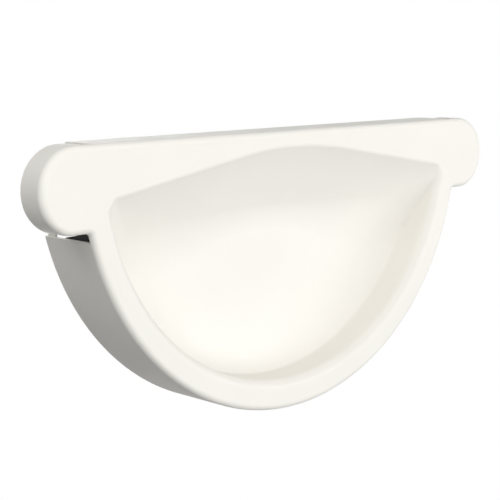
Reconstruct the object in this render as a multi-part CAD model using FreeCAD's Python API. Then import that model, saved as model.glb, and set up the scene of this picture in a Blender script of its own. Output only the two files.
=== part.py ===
import FreeCAD, Part
import math
import os

# Half-round gutter end cap: a pressing of painted sheet steel and the rubber seal in its rim, in millimetres.
# X runs across the gutter, Y from the outside into the gutter, and Z is up. The origin is the half-round's
# centre in the plane of the flat outer face.

# Sheet
SHEET = 0.6             # thickness of the pressed sheet
BEND = 1.6              # outside radius of the bend from the face to the flanges
BEND_CHORDS = 3         # flats that make up the outside of that bend
INNER_CHORDS = 1        # flats that make up its inside

# Half-round rim, which goes over the end of the gutter
HALF_RADIUS = 66.0      # outside of the half-round flange
HALF_DEPTH = 19.0       # how far that flange reaches behind the face
HEM = 3.4               # width of the hem folded flat against the inside along its rear edge
HEM_PROUD = 1.4         # by which the hem's ends stand above the flange's cut edges
HEM_CORNER = 1.2        # radius of the hem's rear corners at those ends

# Lobes, which go over the gutter's two rolled edges
LOBE_RADIUS = 10.0      # outside of a lobe
LOBE_OUT = 1.65         # how far a lobe's centre lies outside the half-round
LOBE_DROP = 4.75        # how far a lobe's centre lies below the half-round's centre
LOBE_FOOT = 9.2         # from a lobe's centre down to its flat underside, which runs in to the half-round
LOBE_DEPTH = 7.6        # depth of the lobes' flanges

# Top strip between the lobes, cut free from their flanges by a slot at each end
STRIP_DEPTH = 11.6      # depth of the strip behind the face
STRIP_CORNER = 2.4      # radius of the strip's rear corners
SLOT_INSET = 2.05       # from a lobe's centre in to the slot
SLOT = 2.5              # width of a slot
SLOT_FRONT = 1.4        # from the face to the slot's front end, within the bend

# Notches between the lobes' flanges and the half-round flange
NOTCH_GAP = 2.75        # from the underside of a lobe to the half-round flange's cut edge
NOTCH_START = 0.4       # from under a lobe's centre in to the end of its flange

# Dish drawn into the face
RIM = 7.8               # from the outside of the half-round to the dish's wall
DISH_DEPTH = 13.5       # from the face to the dish's floor
TOP_BAND = 4.05         # from the top of the face to the crest of the dish's upper edge
CREST_RADIUS = 112.0    # radius of that crest
EDGE_SLOPE = 9.9        # degrees by which the upper edge falls towards each side
RAMP_DROP = 18.7        # height over which the upper ramp reaches the floor
RAMP_BEND = 12.0        # radius from the ramp into the floor
FLOOR_ROUND = 3.9       # radius from the floor into the wall
CORNER_ROUND = 1.4      # radius from the ramp into the wall at the face, growing to that of the floor
RIM_ROUND = 2.2         # radius from the face into the dish

# Rubber seal
SEAL_SLACK = 0.05       # clearance between rubber and sheet
SEAL_BACK = 1.2         # thickness of the band that lies on the flange
SEAL_DEPTH = 10.0       # width of that band, along the flange
RIB_HEIGHT = 3.6        # height of the two sealing ribs above the band
RIB_ROOT = 2.8          # thickness of a rib where it leaves the band
RIB_TIP = 1.4           # thickness of a rib at its tip
SEAL_PROUD = 1.2        # by which the seal's ends stand above the flange's cut edge

LOBE_X = HALF_RADIUS + LOBE_OUT
LOBE_Z = -LOBE_DROP
TOP = LOBE_Z + LOBE_RADIUS
SLOT_OUTER = LOBE_X - SLOT_INSET
STRIP_HALF = SLOT_OUTER - SLOT
NOTCH_Z = LOBE_Z - LOBE_FOOT - NOTCH_GAP
WALL_RADIUS = HALF_RADIUS - RIM
SPARE = 5.0             # overrun of a cutting solid past what it cuts
LEAD = 1.0              # overrun of the dish's solid in front of the face
TOUCH = 0.01            # how near an edge lies to a plane or wall that it is on
FLAT_SETBACK = 2 - math.sqrt(2)     # of a flat that touches the middle of a quarter round of radius 1
ALONG = FreeCAD.Vector(0, 1, 0)


def at(x, y, z):
    return FreeCAD.Vector(x, y, z)


def box(low, high):
    """A box between two corners, given as (x, y, z)."""
    size = [b - a for a, b in zip(low, high)]
    return Part.makeBox(*size, at(*low))


def arc_points(centre, radius, first, last, chords):
    """Points (x, y) of an arc cut into equal chords, between two angles in degrees."""
    angles = [math.radians(first + (last - first) * i / chords) for i in range(chords + 1)]
    return [at(centre[0] + radius * math.cos(a), centre[1] + radius * math.sin(a), 0) for a in angles]


def lines(points):
    return [Part.LineSegment(a, b).toShape() for a, b in zip(points, points[1:])]


def section(points):
    """The face within a closed outline."""
    return Part.Face(Part.Wire(lines(points + points[:1])))


def turn(points):
    """The solid that a section, given as (radius, y), makes when turned about the half-round's axis."""
    return section(points).revolve(at(0, 0, 0), ALONG, 360)


def bent_edge(radius, inset, depth):
    """The half section of a rim, as (radius, y): the face, the bend and the flange of one side of the sheet."""
    bend = BEND - inset
    chords = INNER_CHORDS if inset else BEND_CHORDS
    corner = arc_points((radius - bend, inset + bend), bend, -90, 0, chords)
    return [at(0, inset, 0)] + corner + [at(radius, depth, 0), at(0, depth, 0)]


def bar(inset, reach, depth, ends, way):
    """A bar along X with a bent edge, which lies a reach above (way 1) or below (way -1) the lobes' centres."""
    profile = section(bent_edge(reach - inset, inset, depth))
    profile.rotate(at(0, 0, 0), ALONG, -90 * way)
    profile.translate(at(min(ends), 0, LOBE_Z))
    return profile.extrude(at(max(ends) - min(ends), 0, 0))


def lobe(inset, depth, side):
    """A lobe in three solids: round above its centre, flat below it, and the flat run in to the half-round."""
    middle = side * LOBE_X
    inner = side * (LOBE_X - LOBE_RADIUS)
    outer = side * (LOBE_X + LOBE_RADIUS)
    disc = turn(bent_edge(LOBE_RADIUS - inset, inset, depth))
    disc.translate(at(middle, 0, LOBE_Z))
    above = box((min(inner, outer), -SPARE, LOBE_Z), (max(inner, outer), depth + SPARE, TOP + SPARE))
    below_centre = bar(inset, LOBE_FOOT, depth, (inner, outer), -1)
    foot = bar(inset, LOBE_FOOT, depth, (inner, middle), -1)
    return [disc.common(above), disc.common(below_centre), foot]


def blank(inset, overrun):
    """The cap's outer form as a solid, inset all round and at the front, before the dish is drawn."""
    half = below(turn(bent_edge(HALF_RADIUS - inset, inset, HALF_DEPTH - SHEET + overrun)), LOBE_Z)
    strip = bar(inset, LOBE_RADIUS, STRIP_DEPTH + overrun, (-LOBE_X, LOBE_X), 1)
    lobes = lobe(inset, LOBE_DEPTH + overrun, -1) + lobe(inset, LOBE_DEPTH + overrun, 1)
    return half.fuse([strip] + lobes).removeSplitter()


def upper_edge(offset, z_shift, y):
    """The dish's upper edge at depth y, moved out by an offset: a crest arc between two straight falls."""
    slope = math.radians(EDGE_SLOPE)
    radius = CREST_RADIUS + offset
    centre_z = TOP - TOP_BAND - CREST_RADIUS + z_shift
    shoulder = at(radius * math.sin(slope), y, centre_z + radius * math.cos(slope))
    reach = HALF_RADIUS + SPARE
    end = at(reach, y, shoulder.z - (reach - shoulder.x) * math.tan(slope))
    mirror = [at(-p.x, p.y, p.z) for p in (shoulder, end)]
    return [
        Part.LineSegment(mirror[1], mirror[0]).toShape(),
        Part.Arc(mirror[0], at(0, y, centre_z + radius), shoulder).toShape(),
        Part.LineSegment(shoulder, end).toShape(),
    ], mirror[1], end


def dish(inset):
    """The solid that the dish takes out: an oblique prism under the upper edge, inside the round wall."""
    ramp = math.atan2(DISH_DEPTH, RAMP_DROP)
    start = -LEAD
    floor = DISH_DEPTH + inset
    edge, left, right = upper_edge(inset / math.sin(ramp), -start * RAMP_DROP / DISH_DEPTH, start)
    low = -2 * HALF_RADIUS
    corners = [right, at(right.x, start, low), at(left.x, start, low), left]
    sides = [Part.LineSegment(a, b).toShape() for a, b in zip(corners, corners[1:])]
    travel = floor - start
    prism = Part.Face(Part.Wire(edge + sides)).extrude(at(0, travel, -travel * RAMP_DROP / DISH_DEPTH))
    wall = Part.makeCylinder(WALL_RADIUS + inset, travel + SPARE, at(0, start, 0), ALONG)
    form = prism.common(wall)
    back = [e for e in form.Edges if e.BoundBox.YMin > floor - TOUCH]
    ramp_edges = [e for e in back if not is_wall_edge(e, inset)]
    return round_wall(form.makeFillet(RAMP_BEND + inset, ramp_edges), inset)


def round_wall(form, inset):
    """The dish's solid with its inner edges rounded along the wall, by a radius that grows to the floor."""
    rounds = []
    for number, edge in enumerate(form.Edges, start=1):
        depths = [edge.valueAt(end).y for end in (edge.FirstParameter, edge.LastParameter)]
        if is_wall_edge(edge, inset) and max(depths) > 0:
            radii = [CORNER_ROUND if depth < 0 else FLOOR_ROUND for depth in depths]
            rounds.append((number, radii[0] + inset, radii[1] + inset))
    document = FreeCAD.newDocument()
    sharp = document.addObject("Part::Feature", "sharp_dish")
    sharp.Shape = form
    rounded = document.addObject("Part::Fillet", "rounded_dish")
    rounded.Base = sharp
    rounded.Edges = rounds
    document.recompute()
    solid = rounded.Shape.Solids[0].copy()
    FreeCAD.closeDocument(document.Name)
    return solid


def is_wall_edge(edge, inset):
    """Whether an edge lies on the dish's round wall."""
    middle = edge.valueAt((edge.FirstParameter + edge.LastParameter) / 2)
    return abs(math.hypot(middle.x, middle.z) - WALL_RADIUS - inset) < TOUCH


def skin(inset, overrun):
    """The cap's form bounded by one side of the sheet: the blank with the dish drawn in and its rim rounded,
    by an arc at the front of the sheet and by a flat that touches that arc's offset at the back."""
    form = blank(inset, overrun).cut(dish(inset))
    fronts = [f for f in form.Faces if f.BoundBox.YMax < inset + TOUCH and len(f.Wires) > 1]
    mouth = [w for w in fronts[0].Wires if not w.isSame(fronts[0].OuterWire)][0]
    if inset == 0:
        return form.makeFillet(RIM_ROUND, mouth.Edges)
    return form.makeChamfer(FLAT_SETBACK * (RIM_ROUND - inset), mouth.Edges)


def slot(side):
    """What parts the top strip from a lobe's flange, and the blank behind that flange."""
    ends = sorted((side * STRIP_HALF, side * SLOT_OUTER))
    gap = box((ends[0], SLOT_FRONT, TOP - BEND), (ends[1], STRIP_DEPTH + SPARE, TOP + SPARE))
    ends = sorted((side * STRIP_HALF, side * (LOBE_X + LOBE_RADIUS)))
    return gap.fuse(box((ends[0], LOBE_DEPTH, LOBE_Z), (ends[1], STRIP_DEPTH + SPARE, TOP + SPARE)))


def notch(side):
    """What is cut away between a lobe's flange and the half-round flange, behind the bend."""
    end = side * (LOBE_X - NOTCH_START)
    block = box((min(0, end), BEND, NOTCH_Z), (max(0, end), HALF_DEPTH + SPARE, LOBE_Z + SPARE))
    kept = Part.makeCylinder(HALF_RADIUS - 2 * SHEET, HALF_DEPTH + 2 * SPARE, at(0, -SPARE, 0), ALONG)
    return block.cut(kept)


def hem():
    """The half-round flange's rear edge, folded flat: a section turned about the axis, cut off at the notches.
    The fold's round back is two flats that touch it and the plane at its rear."""
    middle = HALF_RADIUS - SHEET
    inner = middle - SHEET
    front = HALF_DEPTH - HEM
    fold_y = HALF_DEPTH - SHEET
    setback = FLAT_SETBACK * SHEET
    fold = [
        at(HALF_RADIUS, fold_y, 0),
        at(HALF_RADIUS, HALF_DEPTH - setback, 0),
        at(HALF_RADIUS - setback, HALF_DEPTH, 0),
        at(inner + setback, HALF_DEPTH, 0),
        at(inner, HALF_DEPTH - setback, 0),
        at(inner, fold_y, 0),
    ]
    fold = below(turn(fold), NOTCH_Z)
    flap = [at(inner, front, 0), at(middle, front, 0), at(middle, fold_y, 0), at(inner, fold_y, 0)]
    flap = below(turn(flap), NOTCH_Z + HEM_PROUD)
    corners = [
        e for e in flap.Edges
        if e.BoundBox.YMin > fold_y - TOUCH and e.BoundBox.ZMin > NOTCH_Z + HEM_PROUD - TOUCH
    ]
    flap = flap.makeFillet(HEM_CORNER, corners)
    return fold.fuse(flap)


def below(solid, z):
    """The part of a solid that lies below a height."""
    reach = HALF_RADIUS + SPARE
    return solid.cut(box((-reach, -SPARE, z), (reach, HALF_DEPTH + SPARE, reach)))


def end_cap():
    """The pressing: the sheet between its two skins, with its slots, notches and hem."""
    sheet = skin(0, 0).cut(skin(SHEET, SPARE))
    sheet = sheet.cut([slot(-1), slot(1), notch(-1), notch(1)])
    rear = [e for e in sheet.Edges if e.BoundBox.YMin > STRIP_DEPTH - TOUCH]
    corners = [e for e in rear if e.BoundBox.XLength < TOUCH and e.BoundBox.ZMin > TOP - 2 * SHEET]
    return sheet.makeFillet(STRIP_CORNER, corners).fuse(hem()).removeSplitter()


def rubber_seal():
    """The seal: a band with a rib along each edge, turned about the axis and cut off at the notches. Each rib
    tapers on the side that faces the other."""
    outside = HALF_RADIUS - SHEET - SEAL_SLACK
    inside = outside - SEAL_BACK
    tip = inside - RIB_HEIGHT
    front = BEND
    back = front + SEAL_DEPTH
    outline = [
        at(outside, front, 0),
        at(outside, back, 0),
        at(tip, back, 0),
        at(tip, back - RIB_TIP, 0),
        at(inside, back - RIB_ROOT, 0),
        at(inside, front + RIB_ROOT, 0),
        at(tip, front + RIB_TIP, 0),
        at(tip, front, 0),
    ]
    return below(turn(outline), NOTCH_Z + SEAL_PROUD)


def main():
    os.makedirs("parts", exist_ok=True)
    for name, shape in (("end_cap", end_cap()), ("rubber_seal", rubber_seal())):
        solid = shape.Solids[0]
        if len(shape.Solids) != 1 or not solid.isValid():
            raise ValueError(name + " is not one valid solid")
        solid.exportStep("parts/" + name + ".step")
        print(name, "volume", round(solid.Volume, 1), "box", solid.BoundBox)


if __name__ == "__main__":
    main()
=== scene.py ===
import math

import bpy
import numpy as np
from mathutils import Matrix, Vector


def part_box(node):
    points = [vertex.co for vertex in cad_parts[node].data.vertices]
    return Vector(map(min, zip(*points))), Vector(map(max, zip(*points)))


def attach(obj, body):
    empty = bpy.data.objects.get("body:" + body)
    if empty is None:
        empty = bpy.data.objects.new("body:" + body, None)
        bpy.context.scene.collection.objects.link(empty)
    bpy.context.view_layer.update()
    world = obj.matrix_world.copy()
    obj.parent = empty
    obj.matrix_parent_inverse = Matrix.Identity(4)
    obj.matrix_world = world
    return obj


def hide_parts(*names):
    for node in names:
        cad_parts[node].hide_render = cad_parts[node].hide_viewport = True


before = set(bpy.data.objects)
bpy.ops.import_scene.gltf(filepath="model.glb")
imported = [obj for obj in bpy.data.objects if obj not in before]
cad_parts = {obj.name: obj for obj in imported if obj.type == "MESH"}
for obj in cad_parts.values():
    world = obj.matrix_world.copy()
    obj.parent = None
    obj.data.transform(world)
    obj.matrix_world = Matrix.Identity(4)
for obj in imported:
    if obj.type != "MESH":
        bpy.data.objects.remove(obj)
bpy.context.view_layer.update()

bl_info = {
    "name": "Gutter End Cap",
    "version": (1, 0, 0),
    "blender": (4, 5, 0),
    "location": "3D View > Sidebar > End cap",
    "description": "A pressed half-round gutter end cap with its rubber seal, on a white stage",
    "category": "Add Mesh",
}

# Axes: X across the gutter, Y from the outer face into the gutter, Z up. The origin is on the face, at the
# half-round's centre.
LOW, HIGH = (list(map(float, corner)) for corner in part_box("end_cap"))

# How many columns each stretch of the outline has
COLUMNS = {
    "strip": 80, "strip corner": 9, "slot": 4, "lobe top": 3, "lobe side": 40, "heel": 8, "lobe foot": 5,
    "notch top": 4, "nook": 8, "notch side": 6, "half-round": 161,
}
# How many rows each stretch of the pressing has, from the middle of the dish out to the hem
ROWS = {
    "floor": 8, "sweep": 14, "climb": 41, "lip": 8, "face": 4, "bend": 9, "bend end": 2, "flange": 4,
    "fold": 10, "hem corner": 8, "hem": 3,
}
# The seal's stations along the half-round, and the points of each round edge of a rib
SEAL_STATIONS = 181
RIB_ROUND_POINTS = 5
SEAL_SHARP = math.radians(40)   # edges that turn by more than this stay sharp

# Where the bend from the ramp to the floor starts to widen and where it is widest, in radii of the wall
WIDENS_FROM, WIDEST_FROM = 0.1, 0.75

# The dish's columns fan out from a point in its middle
FAN_DROP = 0.55         # from the half-round's centre down to that point, in radii of the wall
STRIP_REACH = 0.9       # where the strip's outermost columns meet the upper edge, in radii of the wall
FAN_REACH = 1.5         # length of the lines searched for floor, edge and wall, in radii of the wall
FAN_STEPS = 3001
NEVER = 1.0             # metres: a place beyond the cap
CORNER_TURN = 0.5       # radians to each side of level in which a corner of the dish is looked for
CORNER_STEPS = 1001

# The guide from which the dish's rows are cast
SWEEP_REACH = 1.2       # length of the closer rows at the foot of the wall, in radii of the floor's sweep
SWEEP_SHARE = 0.7       # and at most this share of the floor
FULL_RIM = 0.004        # metres below the upper edge at which the rim's round has its full radius
EDGE_LIP = 1.4          # width of the lip's rows at the upper edge, in radii of its round
WALL_LIP = 1.2          # and at the wall
LEAST_SLANT = 0.3       # least sine of the angle between a column and the edge or wall that it crosses
EYE = 2.2               # how far in front of the face the rays start, in depths of the dish
NEAREST, FARTHEST = 0.6, 1.5    # where a ray is searched, as shares of its way to the guide
HALVINGS = 44
TINY = 1e-9
NORMAL_STEP = 2e-6      # metres

# A noise texture's values lie mostly between these
NOISE_LOW, NOISE_HIGH = 0.3, 0.7
# Colour sockets of the Mix node
MIX_FIRST, MIX_SECOND, MIX_COLOUR = 6, 7, 2
WHITE = (1.0, 1.0, 1.0, 1.0)

# Lamps: name, place and power in watts. Each points at the middle of the cap.
LAMPS = (
    ("upper_left_softbox", (-0.7, -0.1, 0.7), 3.75),
    ("near_left_softbox", (-0.3, -0.45, 0.1), 2.35),
    ("near_right_softbox", (0.3, -0.45, -0.04), 2.42),
    ("lower_right_softbox", (0.55, -0.7, -0.5), 0.45),
    ("rear_top_softbox", (0.0, 0.3, 0.95), 1.35),
    ("back_softbox", (0.45, 0.9, -0.1), 4.0),
)
FILM_WIDTH = 36.0       # millimetres
CLIP_START = 0.01       # metres


def length(name, description, default):
    """A size in metres that the sidebar shows with its unit."""
    return bpy.props.FloatProperty(
        name=name, description=description, default=default, min=0.0, precision=5, unit="LENGTH"
    )


def angle(name, description, degrees):
    """An angle that the sidebar shows in degrees."""
    return bpy.props.FloatProperty(
        name=name, description=description, default=math.radians(degrees), subtype="ANGLE"
    )


def colour(name, description, default):
    """A colour that the sidebar shows as a swatch."""
    return bpy.props.FloatVectorProperty(
        name=name, description=description, default=default, size=3, min=0.0, max=1.0, subtype="COLOR"
    )


def share(name, description, default):
    """A number from 0 to 1."""
    return bpy.props.FloatProperty(
        name=name, description=description, default=default, min=0.0, max=1.0, subtype="FACTOR"
    )


class PressedSheetSizes(bpy.types.PropertyGroup):
    """Sizes of the pressing"""

    sheet: length("Sheet", "Thickness of the pressed sheet", 0.0006)
    bend: length("Bend", "Outside radius of the bend from the face to the flanges", 0.0016)
    half_radius: length("Half-round", "Outside radius of the half-round flange", -LOW[2])
    half_depth: length("Half-round depth", "How far the half-round flange reaches behind the face", HIGH[1])
    hem: length("Hem", "Width of the hem folded inwards along the half-round's rear edge", 0.0034)
    hem_gap: length("Hem gap", "Gap inside the flattened fold of the hem", 0.0001)
    hem_proud: length("Hem ends", "By which the hem's ends stand above the flange's cut edges", 0.0014)
    hem_corner: length("Hem corner", "Radius of the hem's corners at its ends", 0.0012)
    lobe_radius: length("Lobe", "Outside radius of a side lobe", 0.01)
    lobe_foot: length("Lobe foot", "From a lobe's centre down to its flat underside", 0.0097)
    lobe_depth: length("Lobe depth", "Depth of the lobes' flanges", 0.0076)
    heel_round: length("Heel round", "Radius from a lobe's round side into its underside", 0.006)
    nook_round: length("Nook round", "Radius from a lobe's underside into the half-round", 0.001)
    strip_depth: length("Strip depth", "Depth of the top strip behind the face", 0.0116)
    strip_corner: length("Strip corner", "Radius of the strip's rear corners", 0.0012)
    slot_inset: length("Slot place", "From a lobe's centre in to the slot beside the strip", 0.00205)
    slot: length("Slot", "Width of a slot", 0.0025)
    slot_front: length("Slot front", "From the face to the front end of a slot", 0.0014)
    notch_gap: length("Notch", "From a lobe's underside down to the half-round flange's cut edge", 0.00225)
    notch_start: length("Notch start", "From under a lobe's centre in to the end of its flange", 0.0004)


class DishSizes(bpy.types.PropertyGroup):
    """Sizes of the dish drawn into the face"""

    rim: length("Rim", "From the outside of the half-round to the dish's wall, at its sides", 0.0070)
    wall_rise: length("Wall rise", "By which the wall's centre lies above the half-round's", 0.0007)
    depth: length("Depth", "From the face to the dish's floor", 0.0135)
    top_band: length("Top band", "From the top of the face to the crest of the upper edge", 0.00405)
    crest: length("Crest", "Radius of the crest of the upper edge", 0.112)
    slope: angle("Edge slope", "By which the upper edge falls towards each side", 9.9)
    ramp_drop: length("Ramp drop", "Height over which the upper ramp reaches the floor", 0.0187)
    ramp_start: angle("Ramp start", "Angle between the ramp and the face at the upper edge", 44.0)
    ramp_ease: length("Ramp ease", "Depth over which the ramp eases to its plain slope", 0.0022)
    ramp_bend: length("Ramp bend", "Radius from the ramp into the floor, in the middle", 0.012)
    side_bend: length("Side bend", "Radius from the ramp into the floor, towards the sides", 0.028)
    floor_sweep: length("Floor sweep", "Radius by which the floor rises towards the wall", 0.0138)
    corner_sweep: length("Corner sweep", "Radius from the ramp into the wall, at the face", 0.0018)
    crease_depth: length("Crease depth", "Depth at which the floor's sweep meets the wall", 0.0096)
    crease: length("Crease", "Radius of the crease between the sweep and the wall", 0.0004)
    rim_round: length("Rim round", "Radius from the face into the dish's wall", 0.003)
    lip_round: length("Lip round", "Radius from the face into the ramp at the upper edge", 0.0019)


class SealSizes(bpy.types.PropertyGroup):
    """Sizes of the rubber seal"""

    slack: length("Slack", "Clearance between rubber and sheet", 0.00005)
    back: length("Band", "Thickness of the band that lies on the flange", 0.0012)
    depth: length("Width", "Width of the band along the flange", 0.01)
    rib_height: length("Rib height", "Height of the two ribs above the band", 0.0036)
    rib_root: length("Rib root", "Thickness of a rib where it leaves the band", 0.0028)
    rib_tip: length("Rib tip", "Thickness of a rib at its tip", 0.001)
    rib_round: length("Rib round", "Radius of the edges of a rib's tip", 0.0004)
    front_end: length("Front of ends", "Height of the ends' front above the flange's cut edges", 0.0023)
    rear_end: length("Rear of ends", "Height of the ends' rear above the flange's cut edges", 0.0003)


class FinishSettings(bpy.types.PropertyGroup):
    """Colours and gloss of the two finishes"""

    paint: colour("Paint", "Colour of the coil coating", (0.86, 0.84, 0.788))
    paint_rough: share("Paint roughness", "Roughness of the satin coating", 0.5)
    paint_shine: share("Paint shine", "Specular level of the satin coating", 0.25)
    rubber: colour("Rubber", "Colour of the seal", (0.012, 0.012, 0.012))
    rubber_rough: share("Rubber roughness", "Roughness of the seal", 0.7)
    rubber_shine: share("Rubber shine", "Specular level of the seal", 0.2)


class StageSettings(bpy.types.PropertyGroup):
    """Camera, lamps, floor and backdrop"""

    azimuth: angle("Azimuth", "Direction of the camera round the cap, from straight in front", -43.972)
    elevation: angle("Elevation", "Height of the camera above level", 8.752)
    roll: angle("Roll", "Turn of the camera about its own axis", -0.466)
    distance: length("Distance", "From the camera to the point it looks at", 0.326139)
    target: bpy.props.FloatVectorProperty(
        name="Target", description="Point that the camera looks at", default=(-0.016426, 0.0, -0.02328),
        size=3, precision=5, subtype="XYZ_LENGTH", unit="LENGTH",
    )
    lens: bpy.props.FloatProperty(
        name="Lens", description="Focal length on a 36 mm frame", default=95.88, min=1.0, unit="CAMERA",
    )
    ambient: share("Ambient", "Level of the even light from all round", 0.02)
    lamp_size: length("Lamp size", "Diameter of each lamp", 0.7)
    floor: colour("Floor", "Colour of the floor", (0.75, 0.75, 0.75))
    floor_rough: share("Floor roughness", "Roughness of the floor", 0.9)
    floor_size: length("Floor size", "Length of each side of the floor", 6.0)
    floor_drop: length("Floor drop", "How far below the cap the floor lies", 0.8)


def steps(start, stop, count):
    """Even steps from start to stop, without the start itself."""
    return np.linspace(start, stop, count + 1)[1:]


def smooth_step(value, low, high):
    """0 below low and 1 above high, with a cubic between them."""
    t = np.clip((value - low) / (high - low), 0.0, 1.0)
    return t * t * (3.0 - 2.0 * t)


def round_max(a, b, radius):
    """Intersection of two signed distances, its inner edge rounded by an arc."""
    inside = np.minimum(-radius, np.maximum(a, b))
    return inside + np.hypot(np.maximum(radius + a, 0.0), np.maximum(radius + b, 0.0))


def round_min(a, b, radius):
    """Union of two signed distances, its outer edge rounded by an arc."""
    outside = np.maximum(radius, np.minimum(a, b))
    return outside - np.hypot(np.maximum(radius - a, 0.0), np.maximum(radius - b, 0.0))


def arc(centre, radius, turn):
    """Points of an arc, by cosine and sine of its angles, and its outward normals.

    A radius below 0 is a hollow arc's, with normals towards its centre."""
    out = np.stack([np.cos(turn), np.sin(turn)], 1)
    return np.array(centre) + abs(radius) * out, math.copysign(1.0, radius) * out


def level(x, z, up):
    """Points along a level line and their normals, which point up (1) or down (-1)."""
    return np.stack([x, np.full_like(x, z)], 1), np.tile([0.0, up], (len(x), 1))


class Outline:
    """The cap's outline seen from the front, as columns that run clockwise from the strip's left end.

    Each column has a group: the strip, a slot, a lobe, a notch or the half-round. Each span, from one
    column to the next, has one too."""

    def __init__(self, sizes):
        self.sizes = sizes
        radius, heel, nook = sizes.lobe_radius, sizes.heel_round, sizes.nook_round
        lobe_x, lobe_z = HIGH[0] - radius, HIGH[2] - radius
        foot_z = lobe_z - sizes.lobe_foot
        self.top = HIGH[2]
        self.notch_z = foot_z - sizes.notch_gap
        slot_outer = lobe_x - sizes.slot_inset
        self.strip_half = slot_outer - sizes.slot
        self.corner = self.strip_half - sizes.strip_corner
        ends = self.corner + sizes.strip_corner * np.sin(steps(0.0, math.pi / 2, COLUMNS["strip corner"]))
        middle = np.linspace(-self.corner, self.corner, COLUMNS["strip"])
        self.strip_x = np.concatenate([-ends[::-1], middle, ends])
        lean = math.asin((sizes.lobe_foot - heel) / (radius - heel))
        heel_x = lobe_x + (radius - heel) * math.cos(lean)
        heel_z = lobe_z - (radius - heel) * math.sin(lean)
        nook_z = foot_z - nook
        nook_x = math.sqrt((sizes.half_radius + nook) ** 2 - nook_z**2)
        nook_turn = math.atan2(nook_z, nook_x)
        cut = math.asin(self.notch_z / sizes.half_radius)
        flange_end = lobe_x - sizes.notch_start
        self.around = np.linspace(0.0, 1.0, COLUMNS["half-round"])
        lobe_turn = steps(math.pi / 2, -lean, COLUMNS["lobe side"])
        heel_turn = steps(-lean, -math.pi / 2, COLUMNS["heel"])
        nook_turns = steps(math.pi / 2, math.pi + nook_turn, COLUMNS["nook"])
        side_turn = steps(nook_turn, cut, COLUMNS["notch side"] + 1)[:-1]
        right = [
            ("slot", level(steps(self.strip_half, slot_outer, COLUMNS["slot"]), self.top, 1.0)),
            ("lobe", level(steps(slot_outer, lobe_x, COLUMNS["lobe top"]), self.top, 1.0)),
            ("lobe", arc((lobe_x, lobe_z), radius, lobe_turn)),
            ("lobe", arc((heel_x, heel_z), heel, heel_turn)),
            ("lobe", level(steps(heel_x, flange_end, COLUMNS["lobe foot"]), foot_z, -1.0)),
            ("notch", level(steps(flange_end, nook_x, COLUMNS["notch top"]), foot_z, -1.0)),
            ("notch", arc((nook_x, nook_z), -nook, nook_turns)),
            ("notch", arc((0.0, 0.0), sizes.half_radius, side_turn)),
        ]
        side = [group for group, (points, _) in right for _ in points]
        points, normals = (np.concatenate([piece[k] for _, piece in right]) for k in (0, 1))
        strip, strip_normals = level(self.strip_x, self.top, 1.0)
        half, half_normals = self.half_arc(self.notch_z, sizes.half_radius)
        flip = np.array([-1.0, 1.0])
        self.points = np.concatenate([strip, points, half, points[::-1] * flip])
        self.normals = np.concatenate([strip_normals, normals, half_normals, normals[::-1] * flip])
        strips, halves = ["strip"] * len(strip), ["half"] * len(half)
        self.group = np.array(strips + side + halves + side[::-1])
        self.span = np.array(strips[1:] + side + ["notch"] + halves[1:] + ["notch"] + side[::-1])

    def half_arc(self, end, radius):
        """The half-round's columns at a radius, between two ends at the same height."""
        start = math.asin(end / radius)
        return arc((0.0, 0.0), radius, start + self.around * (-math.pi - 2 * start))

    def row(self, inset):
        """Points of all columns, inset by a distance from the outline along its normals."""
        return self.points - inset * self.normals

    def hem_row(self, end, radius):
        """Points of all columns, with the half-round's at a radius and between ends at a height."""
        points = self.points.copy()
        points[self.group == "half"] = self.half_arc(end, radius)[0]
        return points

    def depth(self):
        """How far each column's flange reaches behind the face, with the strip's rear corners rounded."""
        sizes = self.sizes
        over = np.clip((np.abs(self.strip_x) - self.corner) / sizes.strip_corner, 0.0, 1.0)
        rounded = sizes.strip_corner * (1.0 - np.sqrt(1.0 - over**2))
        depth = np.full(len(self.group), sizes.lobe_depth)
        depth[self.group == "strip"] = sizes.strip_depth - rounded
        depth[self.group == "half"] = sizes.half_depth - sizes.sheet - sizes.hem_gap / 2
        return depth


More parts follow.
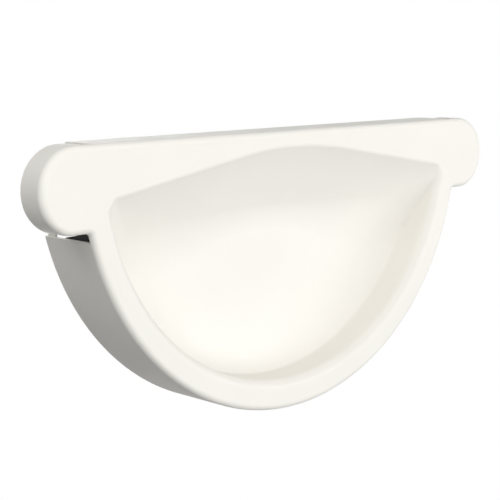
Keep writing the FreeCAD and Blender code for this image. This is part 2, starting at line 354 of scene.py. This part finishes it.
class DishForm:
    """The dish's front surface as a signed distance: below 0 in front of the sheet, above 0 behind it."""

    def __init__(self, sizes, dish, top):
        self.dish = dish
        self.wall = sizes.half_radius - dish.rim
        self.crest_z = top - dish.top_band - dish.crest
        # The ramp's fall per depth and its angle to the face, on the whole way from edge to floor
        self.fall = dish.ramp_drop / dish.depth
        self.ramp = math.atan2(dish.depth, dish.ramp_drop)
        # Its fall per depth past the steeper start, and the drop that the start saves
        first_fall = 1.0 / math.tan(dish.ramp_start)
        eased_drop = dish.ramp_drop - first_fall * dish.ramp_ease
        self.plain_fall = eased_drop / (dish.depth - dish.ramp_ease)
        self.saved_drop = (self.plain_fall - first_fall) * dish.ramp_ease
        # What round_max and round_min take for an arc between two planes that turn by the ramp's angle
        blend = math.tan(self.ramp / 2) * math.sin(self.ramp)
        self.ramp_blend, self.side_blend = dish.ramp_bend * blend, dish.side_bend * blend
        self.lip_blend = dish.lip_round * blend
        # How far the sweep's full arc would reach beyond the wall, in radii of the sweep
        rise = 1.0 - (dish.depth - dish.crease_depth) / dish.floor_sweep
        self.overshoot = 1.0 - math.sqrt(1.0 - rise**2)

    def edge_height(self, x):
        """Height of the upper edge at the face: a crest arc between two straight falls."""
        slope = self.dish.slope
        shoulder = self.dish.crest * math.sin(slope)
        x = np.abs(x)
        crest = np.sqrt(self.dish.crest**2 - np.minimum(x, shoulder) ** 2)
        return self.crest_z + crest - np.maximum(x - shoulder, 0.0) * math.tan(slope)

    def beyond_edge(self, x, z):
        """Distance outside the upper edge, in the face's plane."""
        slope = self.dish.slope
        x, z = np.abs(x), z - self.crest_z
        straight = x * math.sin(slope) + z * math.cos(slope)
        return np.where(np.arctan2(x, z) < slope, np.hypot(x, z), straight) - self.dish.crest

    def beyond_wall(self, x, z):
        """Distance outside the round wall, in the face's plane."""
        return np.hypot(x, z - self.dish.wall_rise) - self.wall

    def corner(self):
        """The point at the face where the wall's right side reaches the upper edge."""
        turn = np.linspace(-CORNER_TURN, CORNER_TURN, CORNER_STEPS)
        wall_z = self.dish.wall_rise + self.wall * np.sin(turn)
        turn = np.interp(0.0, wall_z - self.edge_height(self.wall * np.cos(turn)), turn)
        return self.wall * math.cos(turn), self.dish.wall_rise + self.wall * math.sin(turn)

    def drop(self, y):
        """Height of the upper edge above the ramp at a depth: a plain slope that starts steeper."""
        eased = 1.0 - np.exp(-np.maximum(y, 0.0) / self.dish.ramp_ease)
        return self.plain_fall * y - self.saved_drop * eased

    def distance(self, x, y, z, rim_blend):
        """Signed distance from the dish's front.

        A bend that widens towards the sides joins the ramp and the floor. They are swept up towards the
        round wall by an arc that grows from face to floor, and the wall meets it in a crease. The rim's
        round joins all that to the face."""
        dish = self.dish
        ramp = self.beyond_edge(x, z + self.drop(y)) * math.sin(self.ramp)
        beside = smooth_step(np.abs(x), WIDENS_FROM * self.wall, WIDEST_FROM * self.wall)
        bend = self.ramp_blend + beside * (self.side_blend - self.ramp_blend)
        bottom = round_max(ramp, y - dish.depth, bend)
        grown = np.clip(y / dish.crease_depth, 0.0, 1.0)
        sweep = dish.corner_sweep + grown * (dish.floor_sweep - dish.corner_sweep)
        beyond_wall = self.beyond_wall(x, z)
        bowl = round_max(bottom, beyond_wall - self.overshoot * sweep, sweep)
        hollow = round_max(bowl, beyond_wall, dish.crease)
        return round_min(y, hollow, rim_blend)

    def normals(self, x, y, z, rim_blend):
        """Unit vectors towards the front, against the gradient of the distance."""
        slopes = []
        for dx, dy, dz in NORMAL_STEP * np.eye(3):
            ahead = self.distance(x + dx, y + dy, z + dz, rim_blend)
            slopes.append(self.distance(x - dx, y - dy, z - dz, rim_blend) - ahead)
        normal = np.stack(slopes, -1)
        return normal / np.linalg.norm(normal, axis=-1, keepdims=True)


def first_reach(values, along):
    """Per row, the place along a line at which its values first fall to 0, or one beyond the cap.

    The place is between two points of the line, in proportion to their values."""
    hit = values <= 0.0
    index = np.maximum(hit.argmax(1), 1)
    rows = np.arange(len(values))
    before, after = values[rows, index - 1], values[rows, index]
    place = along[index - 1] + (along[index] - along[index - 1]) * before / (before - after)
    return np.where(hit.any(1), place, NEVER)


def fan_angles(outline, form, middle_z):
    """Angle of each column, seen from the front, about the middle of the dish.

    The strip's columns point at the upper edge, the half-round's at the wall, and the outermost column of
    each lobe at a corner of the dish. Those between are spread evenly."""
    points = outline.points
    half = outline.group == "half"
    known = half | (outline.group == "strip")
    reach_x = points[:, 0] * (STRIP_REACH * form.wall / outline.strip_half)
    upper = np.arctan2(form.edge_height(reach_x) - middle_z, reach_x)
    on_wall = points * (form.wall / outline.sizes.half_radius) + [0.0, form.dish.wall_rise]
    lower = np.arctan2(on_wall[:, 1] - middle_z, on_wall[:, 0])
    lower = np.where(lower > math.pi / 2, lower - 2 * math.pi, lower)
    towards = np.where(half, lower, upper)
    corner_x, corner_z = form.corner()
    to_corner = math.atan2(corner_z - middle_z, corner_x)
    outermost = [points[:, 0].argmax(), points[:, 0].argmin()]
    towards[outermost] = to_corner, -math.pi - to_corner
    known[outermost] = True
    number = np.arange(len(points))
    stops = np.append(number[known], len(points))
    return np.interp(number, stops, np.append(towards[known], towards[0] - 2 * math.pi))


def dish_guide(form, ex, ez, middle_z):
    """A sharp-edged guide of floor, ramp, wall and lip along each column, whose direction is (ex, ez).

    Returns how far its points lie from the middle and behind the face, and the rim's blend per column."""
    dish = form.dish
    line = np.linspace(0.0, FAN_REACH * form.wall, FAN_STEPS)
    x, z = ex[:, None] * line, middle_z + ez[:, None] * line
    clear = form.edge_height(x) - z
    at_floor = first_reach(clear - form.fall * dish.depth, line)
    at_face = first_reach(clear, line)
    at_wall = first_reach(-form.beyond_wall(x, z), line)
    foot, mouth = np.minimum(at_floor, at_wall), np.minimum(at_face, at_wall)
    under_edge = form.edge_height(ex * mouth) - (middle_z + ez * mouth)

    # Along the floor, with closer rows where it rises
    near = np.minimum(SWEEP_REACH * dish.floor_sweep, SWEEP_SHARE * foot)
    floor_s = np.concatenate([
        np.linspace(0.0, 1.0, ROWS["floor"], endpoint=False)[:, None] * (foot - near),
        foot - near + np.linspace(0.0, 1.0, ROWS["sweep"])[:, None] * near,
    ])
    # Up the ramp to the knee, and from there up the wall
    knee = np.clip(under_edge / form.fall, 0.0, dish.depth)
    ramp_run = np.hypot(mouth - foot, dish.depth - knee)
    run = steps(0.0, 1.0, ROWS["climb"])[:, None] * (ramp_run + knee)
    up = np.clip(run / np.maximum(ramp_run, TINY), 0.0, 1.0)
    climb_s = foot + up * (mouth - foot)
    climb_y = dish.depth + up * (knee - dish.depth) - np.maximum(run - ramp_run, 0.0)
    # Over the lip, as far as its round reaches along the column
    on_rim = smooth_step(under_edge, 0.0, FULL_RIM)
    to_edge = np.maximum(np.abs(ex) * math.sin(dish.slope) + ez * math.cos(dish.slope), LEAST_SLANT)
    to_wall = np.maximum(mouth + ez * (middle_z - dish.wall_rise), LEAST_SLANT * form.wall) / form.wall
    edge_lip = EDGE_LIP * form.lip_blend / (math.sin(form.ramp) * to_edge)
    wall_lip = WALL_LIP * dish.rim_round / to_wall
    lip = edge_lip + on_rim * (wall_lip - edge_lip)
    lip_s = mouth + steps(0.0, 1.0, ROWS["lip"])[:, None] * lip

    guide_s = np.concatenate([floor_s, climb_s, lip_s])
    guide_y = np.concatenate([np.full_like(floor_s, dish.depth), climb_y, np.zeros_like(lip_s)])
    return guide_s, guide_y, form.lip_blend + on_rim * (dish.rim_round - form.lip_blend)


def dish_rows(outline, form):
    """The dish as rows from the middle of its floor out to the face, one point per column of the outline.

    Each column lies in a plane through the middle of the dish. Its points are where rays, from an eye in
    front of the dish towards the guide, meet the rounded surface, found by halving. Returns the points and
    their normals."""
    middle_z = -FAN_DROP * form.wall
    towards = fan_angles(outline, form, middle_z)
    ex, ez = np.cos(towards), np.sin(towards)
    guide_s, guide_y, blend = dish_guide(form, ex, ez, middle_z)
    eye = -EYE * form.dish.depth
    short, far = np.full_like(guide_s, NEAREST), np.full_like(guide_s, FARTHEST)
    for _ in range(HALVINGS):
        reach = (short + far) / 2
        s, y = reach * guide_s, eye + reach * (guide_y - eye)
        behind = form.distance(ex * s, y, middle_z + ez * s, blend) > 0.0
        short, far = np.where(behind, short, reach), np.where(behind, reach, far)
    x, z = ex * s, middle_z + ez * s
    return np.stack([x, y, z], -1), form.normals(x, y, z, blend)


def flange_rows(outline):
    """The bend, the flanges, the fold of the hem and the hem, as rows behind the face.

    The bend is a quarter turn from the face to the flanges, which run straight back. The fold is a half
    turn inwards, and the hem runs forwards again. Returns the points, their normals, and the numbers of the
    rows at the slots' front, the flanges' front and the flanges' rear."""
    sizes = outline.sizes
    slot_turn = math.acos(1.0 - sizes.slot_front / sizes.bend)
    front = np.linspace(0.0, slot_turn, ROWS["bend"])
    turns = np.concatenate([front, steps(slot_turn, math.pi / 2, ROWS["bend end"])])
    fold = sizes.sheet + sizes.hem_gap / 2
    fold_y = sizes.half_depth - fold
    hem_radius = sizes.half_radius - 2 * fold
    tip = outline.notch_z + sizes.hem_proud
    corner_y = fold_y - sizes.hem_corner
    depth = outline.depth()
    # Each row: its points seen from the front, its y, and how far its normals point back and out
    rows = []
    for turn in turns:
        ring = outline.row(sizes.bend * (1.0 - math.sin(turn)))
        rows.append((ring, sizes.bend * (1.0 - math.cos(turn)), -math.cos(turn), math.sin(turn)))
    for back in steps(0.0, 1.0, ROWS["flange"]):
        rows.append((outline.points, sizes.bend + back * (depth - sizes.bend), 0.0, 1.0))
    marks = len(front) - 1, len(turns) - 1, len(rows) - 1
    for turn in steps(0.0, math.pi, ROWS["fold"]):
        radius = sizes.half_radius - fold + fold * math.cos(turn)
        ring = outline.hem_row(outline.notch_z, radius)
        rows.append((ring, fold_y + fold * math.sin(turn), math.sin(turn), math.cos(turn)))
    for turn in steps(math.pi / 2, 0.0, ROWS["hem corner"]):
        ring = outline.hem_row(tip - sizes.hem_corner * (1.0 - math.cos(turn)), hem_radius)
        rows.append((ring, corner_y + sizes.hem_corner * math.sin(turn), 0.0, -1.0))
    for y in steps(corner_y, sizes.half_depth - sizes.hem, ROWS["hem"]):
        rows.append((outline.hem_row(tip, hem_radius), y, 0.0, -1.0))
    side_x, side_z = outline.normals.T
    places, normals = [], []
    for ring, y, back, out in rows:
        places.append(np.stack([ring[:, 0], np.broadcast_to(y, len(ring)), ring[:, 1]], -1))
        normals.append(np.stack([side_x * out, np.full(len(ring), back), side_z * out], -1))
    return np.array(places), np.array(normals), marks


def pressed_sheet(outline, form):
    """The pressing as one closed sheet: dish, face, bend, flanges and hem are rows of one grid.

    Its columns run round the outline, and each span of columns ends at its own row, at a slot, a notch, a
    flange's rear or the hem. Returns points, faces, and a normal for each corner of each face."""
    dish, dish_normal = dish_rows(outline, form)
    rear, rear_normal, marks = flange_rows(outline)
    between = steps(0.0, 1.0, ROWS["face"] + 1)[:-1, None, None]
    face = dish[-1] + between * (rear[0] - dish[-1])
    forward = [0.0, -1.0, 0.0]
    place = np.concatenate([dish[1:], face, rear])
    normal = np.concatenate([dish_normal[1:], np.broadcast_to(forward, face.shape), rear_normal])
    rows, columns = place.shape[:2]
    slot_row, flange_row, rear_row = (len(dish) - 1 + len(face) + mark for mark in marks)
    last = np.full(columns, rear_row)
    last[outline.span == "slot"] = slot_row
    last[outline.span == "notch"] = flange_row
    last[outline.span == "half"] = rows - 1
    i, c = np.nonzero(np.arange(rows - 1)[:, None] < last)
    after = (c + 1) % columns
    this_row, next_row = i * columns, (i + 1) * columns
    quads = np.stack([this_row + c, this_row + after, next_row + after, next_row + c], 1)
    ring = np.arange(columns)
    middle = rows * columns
    fan = np.stack([np.full(columns, middle), np.roll(ring, -1), ring], 1)
    points = np.append(place.reshape(-1, 3), dish[0, :1], 0)
    normals = np.append(normal.reshape(-1, 3), [forward], 0)
    return thickened(points, normals, quads, fan, outline.sizes.sheet)


def thickened(points, normals, quads, fan, thickness):
    """A sheet of quads and triangles with a back and with walls round its open edges.

    The back is the front moved against its normals. An edge is open where no other face runs along it the
    other way. A wall's normal is the cross product of its diagonals."""
    used, numbers = np.unique(np.concatenate([quads.ravel(), fan.ravel()]), return_inverse=True)
    points, normals = points[used], normals[used]
    quads, fan = numbers[:quads.size].reshape(-1, 4), numbers[quads.size:].reshape(-1, 3)
    count = len(points)
    starts = np.concatenate([quads.ravel(), fan.ravel()])
    stops = np.concatenate([np.roll(quads, -1, 1).ravel(), np.roll(fan, -1, 1).ravel()])
    free = ~np.isin(starts * count + stops, stops * count + starts)
    a, b = starts[free], stops[free]
    walls = np.stack([b, a, a + count, b + count], 1)
    points = np.concatenate([points, points - thickness * normals])
    one, other = points[walls[:, 2]] - points[walls[:, 0]], points[walls[:, 3]] - points[walls[:, 1]]
    wall_normal = np.cross(one, other)
    wall_normal = wall_normal / np.linalg.norm(wall_normal, axis=1, keepdims=True)
    fours = np.concatenate([quads, quads[:, ::-1] + count, walls])
    threes = np.concatenate([fan, fan[:, ::-1] + count])
    corners = [
        normals[quads].reshape(-1, 3),
        -normals[quads[:, ::-1]].reshape(-1, 3),
        np.repeat(wall_normal, 4, 0),
        normals[fan].reshape(-1, 3),
        -normals[fan[:, ::-1]].reshape(-1, 3),
    ]
    return points, fours.tolist() + threes.tolist(), np.concatenate(corners)


def seal_section(seal):
    """The seal's section as y and height above the band's outside, from the front of the band to its back.

    A rib stands along each edge. It is straight outside, tapers inside, and its tip has round edges."""
    tip = seal.rib_round
    rise = seal.back + seal.rib_height - tip
    lean = math.atan2(seal.rib_root - seal.rib_tip, seal.rib_height)
    outer = np.linspace(math.pi, math.pi / 2, RIB_ROUND_POINTS)
    inner = np.linspace(math.pi / 2, lean, RIB_ROUND_POINTS)
    inner_y = seal.rib_tip - tip * math.tan(math.pi / 4 + lean / 2)
    y = np.concatenate([
        np.zeros(2), tip + tip * np.cos(outer), inner_y + tip * np.cos(inner), [seal.rib_root],
    ])
    height = np.concatenate([
        [0.0, seal.back], rise + tip * np.sin(outer), rise + tip * np.sin(inner), [seal.back],
    ])
    return np.concatenate([y, seal.depth - y[::-1]]), np.concatenate([height, height[::-1]])


def swept_seal(outline, seal):
    """The seal's section carried round the half-round from one end to the other, with the ends closed.

    The ends are cut in a curve: their height falls with the square of the distance from the front."""
    sizes = outline.sizes
    y, height = seal_section(seal)
    radius = sizes.half_radius - sizes.sheet - seal.slack - height
    end_z = outline.notch_z + seal.front_end + (y / seal.depth) ** 2 * (seal.rear_end - seal.front_end)
    start = np.arcsin(end_z / radius)
    turn = start + np.linspace(0.0, 1.0, SEAL_STATIONS)[:, None] * (-math.pi - 2 * start)
    across = np.broadcast_to(sizes.bend + y, turn.shape)
    points = np.stack([radius * np.cos(turn), across, radius * np.sin(turn)], -1)
    rows, columns = turn.shape
    i, c = (grid.ravel() for grid in np.meshgrid(np.arange(rows - 1), np.arange(columns), indexing="ij"))
    after = (c + 1) % columns
    this_row, next_row = i * columns, (i + 1) * columns
    side = np.stack([this_row + c, next_row + c, next_row + after, this_row + after], 1)
    first = np.arange(columns)
    last = first[::-1] + (rows - 1) * columns
    return points.reshape(-1, 3), side.tolist() + [first.tolist(), last.tolist()]


def new_piece(name, points, faces, material, node):
    """A mesh object at the origin that stands for a CAD node and moves with the cap."""
    mesh = bpy.data.meshes.new(name)
    mesh.from_pydata(points.tolist(), [], faces)
    if mesh.validate():
        raise RuntimeError(name + " has faces that are not sound")
    mesh.polygons.foreach_set("use_smooth", np.ones(len(mesh.polygons), bool))
    mesh.materials.append(material)
    piece = bpy.data.objects.new(name, mesh)
    bpy.context.collection.objects.link(piece)
    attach(piece, "root")
    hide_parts(node)
    return piece


def new_material(name):
    """A material, its node tree and its own shader."""
    material = bpy.data.materials.new(name)
    material.use_nodes = True
    tree = material.node_tree
    return material, tree, next(node for node in tree.nodes if node.type == "BSDF_PRINCIPLED")


class Finish:
    """A material whose textures lie in Object coordinates and feed its own shader."""

    def __init__(self, name):
        self.material, self.tree, self.shader = new_material(name)
        self.join = self.tree.links.new
        self.place = self.add("ShaderNodeTexCoord").outputs["Object"]

    def add(self, kind, **inputs):
        """A new node with values at its inputs."""
        node = self.tree.nodes.new(kind)
        for name, value in inputs.items():
            node.inputs[name].default_value = value
        return node

    def feed(self, socket, source):
        """Join a source to one of the shader's sockets."""
        self.join(source, self.shader.inputs[socket])

    def noise(self, scale, detail, rough):
        """A noise texture's value."""
        node = self.add("ShaderNodeTexNoise", Scale=scale, Detail=detail, Roughness=rough)
        self.join(self.place, node.inputs["Vector"])
        return node.outputs["Fac"]

    def mapped(self, source, low, high):
        """A noise texture's value spread between two numbers."""
        ends = {"From Min": NOISE_LOW, "From Max": NOISE_HIGH, "To Min": low, "To Max": high}
        node = self.add("ShaderNodeMapRange", **ends)
        self.join(source, node.inputs["Value"])
        return node.outputs["Result"]

    def mixed(self, first, second, source):
        """The first colour where a noise texture's value is low, and the second where it is high."""
        node = self.add("ShaderNodeMix")
        node.data_type = "RGBA"
        node.inputs[MIX_FIRST].default_value = (*first, 1.0)
        node.inputs[MIX_SECOND].default_value = (*second, 1.0)
        self.join(self.mapped(source, 0.0, 1.0), node.inputs["Factor"])
        return node.outputs[MIX_COLOUR]

    def bump(self, source, strength, distance):
        """Bumps as high as a noise texture's value."""
        node = self.add("ShaderNodeBump", Strength=strength, Distance=distance)
        self.join(source, node.inputs["Height"])
        self.feed("Normal", node.outputs["Normal"])


def coil_coating(settings):
    """Satin white paint on sheet: a faint orange peel, and slow changes of tone and gloss."""
    darkest, gloss_change = 0.975, 0.05
    finish = Finish("satin_white_coating")
    peel = finish.noise(scale=700.0, detail=3.0, rough=0.5)
    tone = finish.noise(scale=28.0, detail=4.0, rough=0.55)
    gloss = finish.noise(scale=90.0, detail=5.0, rough=0.6)
    dark = [value * darkest for value in settings.paint]
    rough = settings.paint_rough
    finish.feed("Base Color", finish.mixed(dark, settings.paint, tone))
    finish.feed("Roughness", finish.mapped(gloss, rough - gloss_change, rough + gloss_change))
    finish.shader.inputs["Specular IOR Level"].default_value = settings.paint_shine
    finish.bump(peel, strength=0.12, distance=0.00003)
    return finish.material


def moulded_rubber(settings):
    """Matt black rubber: a fine grain, with paler and duller dusty patches."""
    palest, smoother, duller = 2.2, 0.08, 0.1
    finish = Finish("moulded_black_rubber")
    grain = finish.noise(scale=1800.0, detail=4.0, rough=0.65)
    dust = finish.noise(scale=160.0, detail=5.0, rough=0.6)
    pale = [value * palest for value in settings.rubber]
    rough = settings.rubber_rough
    finish.feed("Base Color", finish.mixed(settings.rubber, pale, dust))
    finish.feed("Roughness", finish.mapped(dust, rough - smoother, rough + duller))
    finish.shader.inputs["Specular IOR Level"].default_value = settings.rubber_shine
    finish.bump(grain, strength=0.35, distance=0.00005)
    return finish.material


def white_to_camera(tree, shade, output, white_kind):
    """Show plain white of strength 1 in place of a shade wherever the camera sees it.

    That holds for what it sees directly, in a reflection or through glass: the greatest of the three."""
    nodes, join = tree.nodes, tree.links.new
    path = nodes.new("ShaderNodeLightPath")
    seen = path.outputs["Is Camera Ray"]
    for ray in ("Is Glossy Ray", "Is Transmission Ray"):
        either = nodes.new("ShaderNodeMath")
        either.operation = "MAXIMUM"
        join(seen, either.inputs[0])
        join(path.outputs[ray], either.inputs[1])
        seen = either.outputs[0]
    white = nodes.new(white_kind)
    white.inputs["Color"].default_value = WHITE
    white.inputs["Strength"].default_value = 1.0
    mix = nodes.new("ShaderNodeMixShader")
    join(seen, mix.inputs[0])
    join(shade, mix.inputs[1])
    join(white.outputs[0], mix.inputs[2])
    join(mix.outputs[0], output)


class EndCapAddPressing(bpy.types.Operator):
    """Add the pressed sheet of the end cap"""

    bl_idname = "end_cap.add_pressing"
    bl_label = "Pressed sheet"

    def execute(self, context):
        scene = context.scene
        outline = Outline(scene.end_cap_sheet)
        form = DishForm(scene.end_cap_sheet, scene.end_cap_dish, outline.top)
        points, faces, corners = pressed_sheet(outline, form)
        material = coil_coating(scene.end_cap_finish)
        piece = new_piece("pressed_sheet", points, faces, material, "end_cap")
        piece.data.normals_split_custom_set(corners.tolist())
        return {"FINISHED"}


class EndCapAddSeal(bpy.types.Operator):
    """Add the rubber seal inside the half-round rim"""

    bl_idname = "end_cap.add_seal"
    bl_label = "Rubber seal"

    def execute(self, context):
        scene = context.scene
        points, faces = swept_seal(Outline(scene.end_cap_sheet), scene.end_cap_seal)
        material = moulded_rubber(scene.end_cap_finish)
        piece = new_piece("ribbed_seal", points, faces, material, "rubber_seal")
        piece.data.set_sharp_from_angle(angle=SEAL_SHARP)
        return {"FINISHED"}


class EndCapAddStage(bpy.types.Operator):
    """Add the floor, the white backdrop, the lamps and the camera"""

    bl_idname = "end_cap.add_stage"
    bl_label = "Stage"

    def execute(self, context):
        scene = context.scene
        stage = scene.end_cap_stage
        self.add_floor(scene, stage)
        self.add_world(scene, stage)
        middle = Vector([(low + high) / 2 for low, high in zip(LOW, HIGH)])
        for name, place, power in LAMPS:
            self.add_lamp(scene, name, Vector(place), middle, stage.lamp_size, power)
        self.add_camera(scene, stage)
        scene.view_settings.view_transform = "Standard"
        return {"FINISHED"}

    def add_floor(self, scene, stage):
        """A level square of four faces below the cap, white to the camera."""
        height = LOW[2] - stage.floor_drop
        along = np.linspace(-0.5, 0.5, 3) * stage.floor_size
        x, y = np.meshgrid(along, along)
        points = np.stack([x, y, np.full_like(x, height)], -1).reshape(-1, 3)
        faces = [(i, i + 1, i + 4, i + 3) for i in (0, 1, 3, 4)]
        mesh = bpy.data.meshes.new("floor")
        mesh.from_pydata(points.tolist(), [], faces)
        material, tree, shader = new_material("pale_floor")
        shader.inputs["Base Color"].default_value = (*stage.floor, 1.0)
        shader.inputs["Roughness"].default_value = stage.floor_rough
        output = next(node for node in tree.nodes if node.type == "OUTPUT_MATERIAL")
        white_to_camera(tree, shader.outputs[0], output.inputs["Surface"], "ShaderNodeEmission")
        mesh.materials.append(material)
        floor = bpy.data.objects.new("floor", mesh)
        scene.collection.objects.link(floor)

    def add_world(self, scene, stage):
        """Even light from all round, white to the camera."""
        scene.world = bpy.data.worlds.new("white_backdrop")
        scene.world.use_nodes = True
        tree = scene.world.node_tree
        even = next(node for node in tree.nodes if node.type == "BACKGROUND")
        even.inputs["Color"].default_value = WHITE
        even.inputs["Strength"].default_value = stage.ambient
        output = next(node for node in tree.nodes if node.type == "OUTPUT_WORLD")
        white_to_camera(tree, even.outputs[0], output.inputs["Surface"], "ShaderNodeBackground")

    def add_lamp(self, scene, name, place, middle, size, power):
        """A round lamp that points from its place at the middle of the cap."""
        light = bpy.data.lights.new(name, "AREA")
        light.shape = "DISK"
        light.size = size
        light.energy = power
        lamp = bpy.data.objects.new(name, light)
        turn = (place - middle).to_track_quat("Z", "Y").to_matrix().to_4x4()
        lamp.matrix_world = Matrix.Translation(place) @ turn
        scene.collection.objects.link(lamp)

    def add_camera(self, scene, stage):
        """A camera at a distance from its target, by azimuth and elevation, and then turned by its roll."""
        az, el, roll = stage.azimuth, stage.elevation, stage.roll
        back = Vector((math.sin(az) * math.cos(el), -math.cos(az) * math.cos(el), math.sin(el)))
        right = Vector((0.0, 0.0, 1.0)).cross(back).normalized()
        up = back.cross(right)
        side = right * math.cos(roll) + up * math.sin(roll)
        above = up * math.cos(roll) - right * math.sin(roll)
        lens = bpy.data.cameras.new("photo_camera")
        lens.lens = stage.lens
        lens.sensor_width = FILM_WIDTH
        lens.clip_start = CLIP_START
        camera = bpy.data.objects.new("photo_camera", lens)
        camera.matrix_world = Matrix((side, above, back)).transposed().to_4x4()
        camera.location = Vector(stage.target) + back * stage.distance
        scene.collection.objects.link(camera)
        scene.camera = camera


class EndCapPanel(bpy.types.Panel):
    """Sizes, finishes and pieces of the end cap"""

    bl_idname = "VIEW3D_PT_end_cap"
    bl_label = "Gutter end cap"
    bl_space_type = "VIEW_3D"
    bl_region_type = "UI"
    bl_category = "End cap"

    def draw(self, context):
        for operator in OPERATORS:
            self.layout.operator(operator.bl_idname)
        for name, group in GROUPS.items():
            box = self.layout.box()
            for prop in group.__annotations__:
                box.prop(getattr(context.scene, name), prop)


GROUPS = {
    "end_cap_sheet": PressedSheetSizes,
    "end_cap_dish": DishSizes,
    "end_cap_seal": SealSizes,
    "end_cap_finish": FinishSettings,
    "end_cap_stage": StageSettings,
}
OPERATORS = (EndCapAddPressing, EndCapAddSeal, EndCapAddStage)


def register():
    """Register the classes, and give the scene one of each group of settings."""
    for cls in (*GROUPS.values(), *OPERATORS, EndCapPanel):
        bpy.utils.register_class(cls)
    for name, group in GROUPS.items():
        setattr(bpy.types.Scene, name, bpy.props.PointerProperty(type=group))


def unregister():
    """Undo register, in the opposite order."""
    for name in GROUPS:
        delattr(bpy.types.Scene, name)
    for cls in (EndCapPanel, *reversed(OPERATORS), *reversed(GROUPS.values())):
        bpy.utils.unregister_class(cls)


def main():
    """Add the pieces and the stage."""
    register()
    bpy.ops.end_cap.add_pressing()
    bpy.ops.end_cap.add_seal()
    bpy.ops.end_cap.add_stage()


if __name__ == "__main__":
    main()
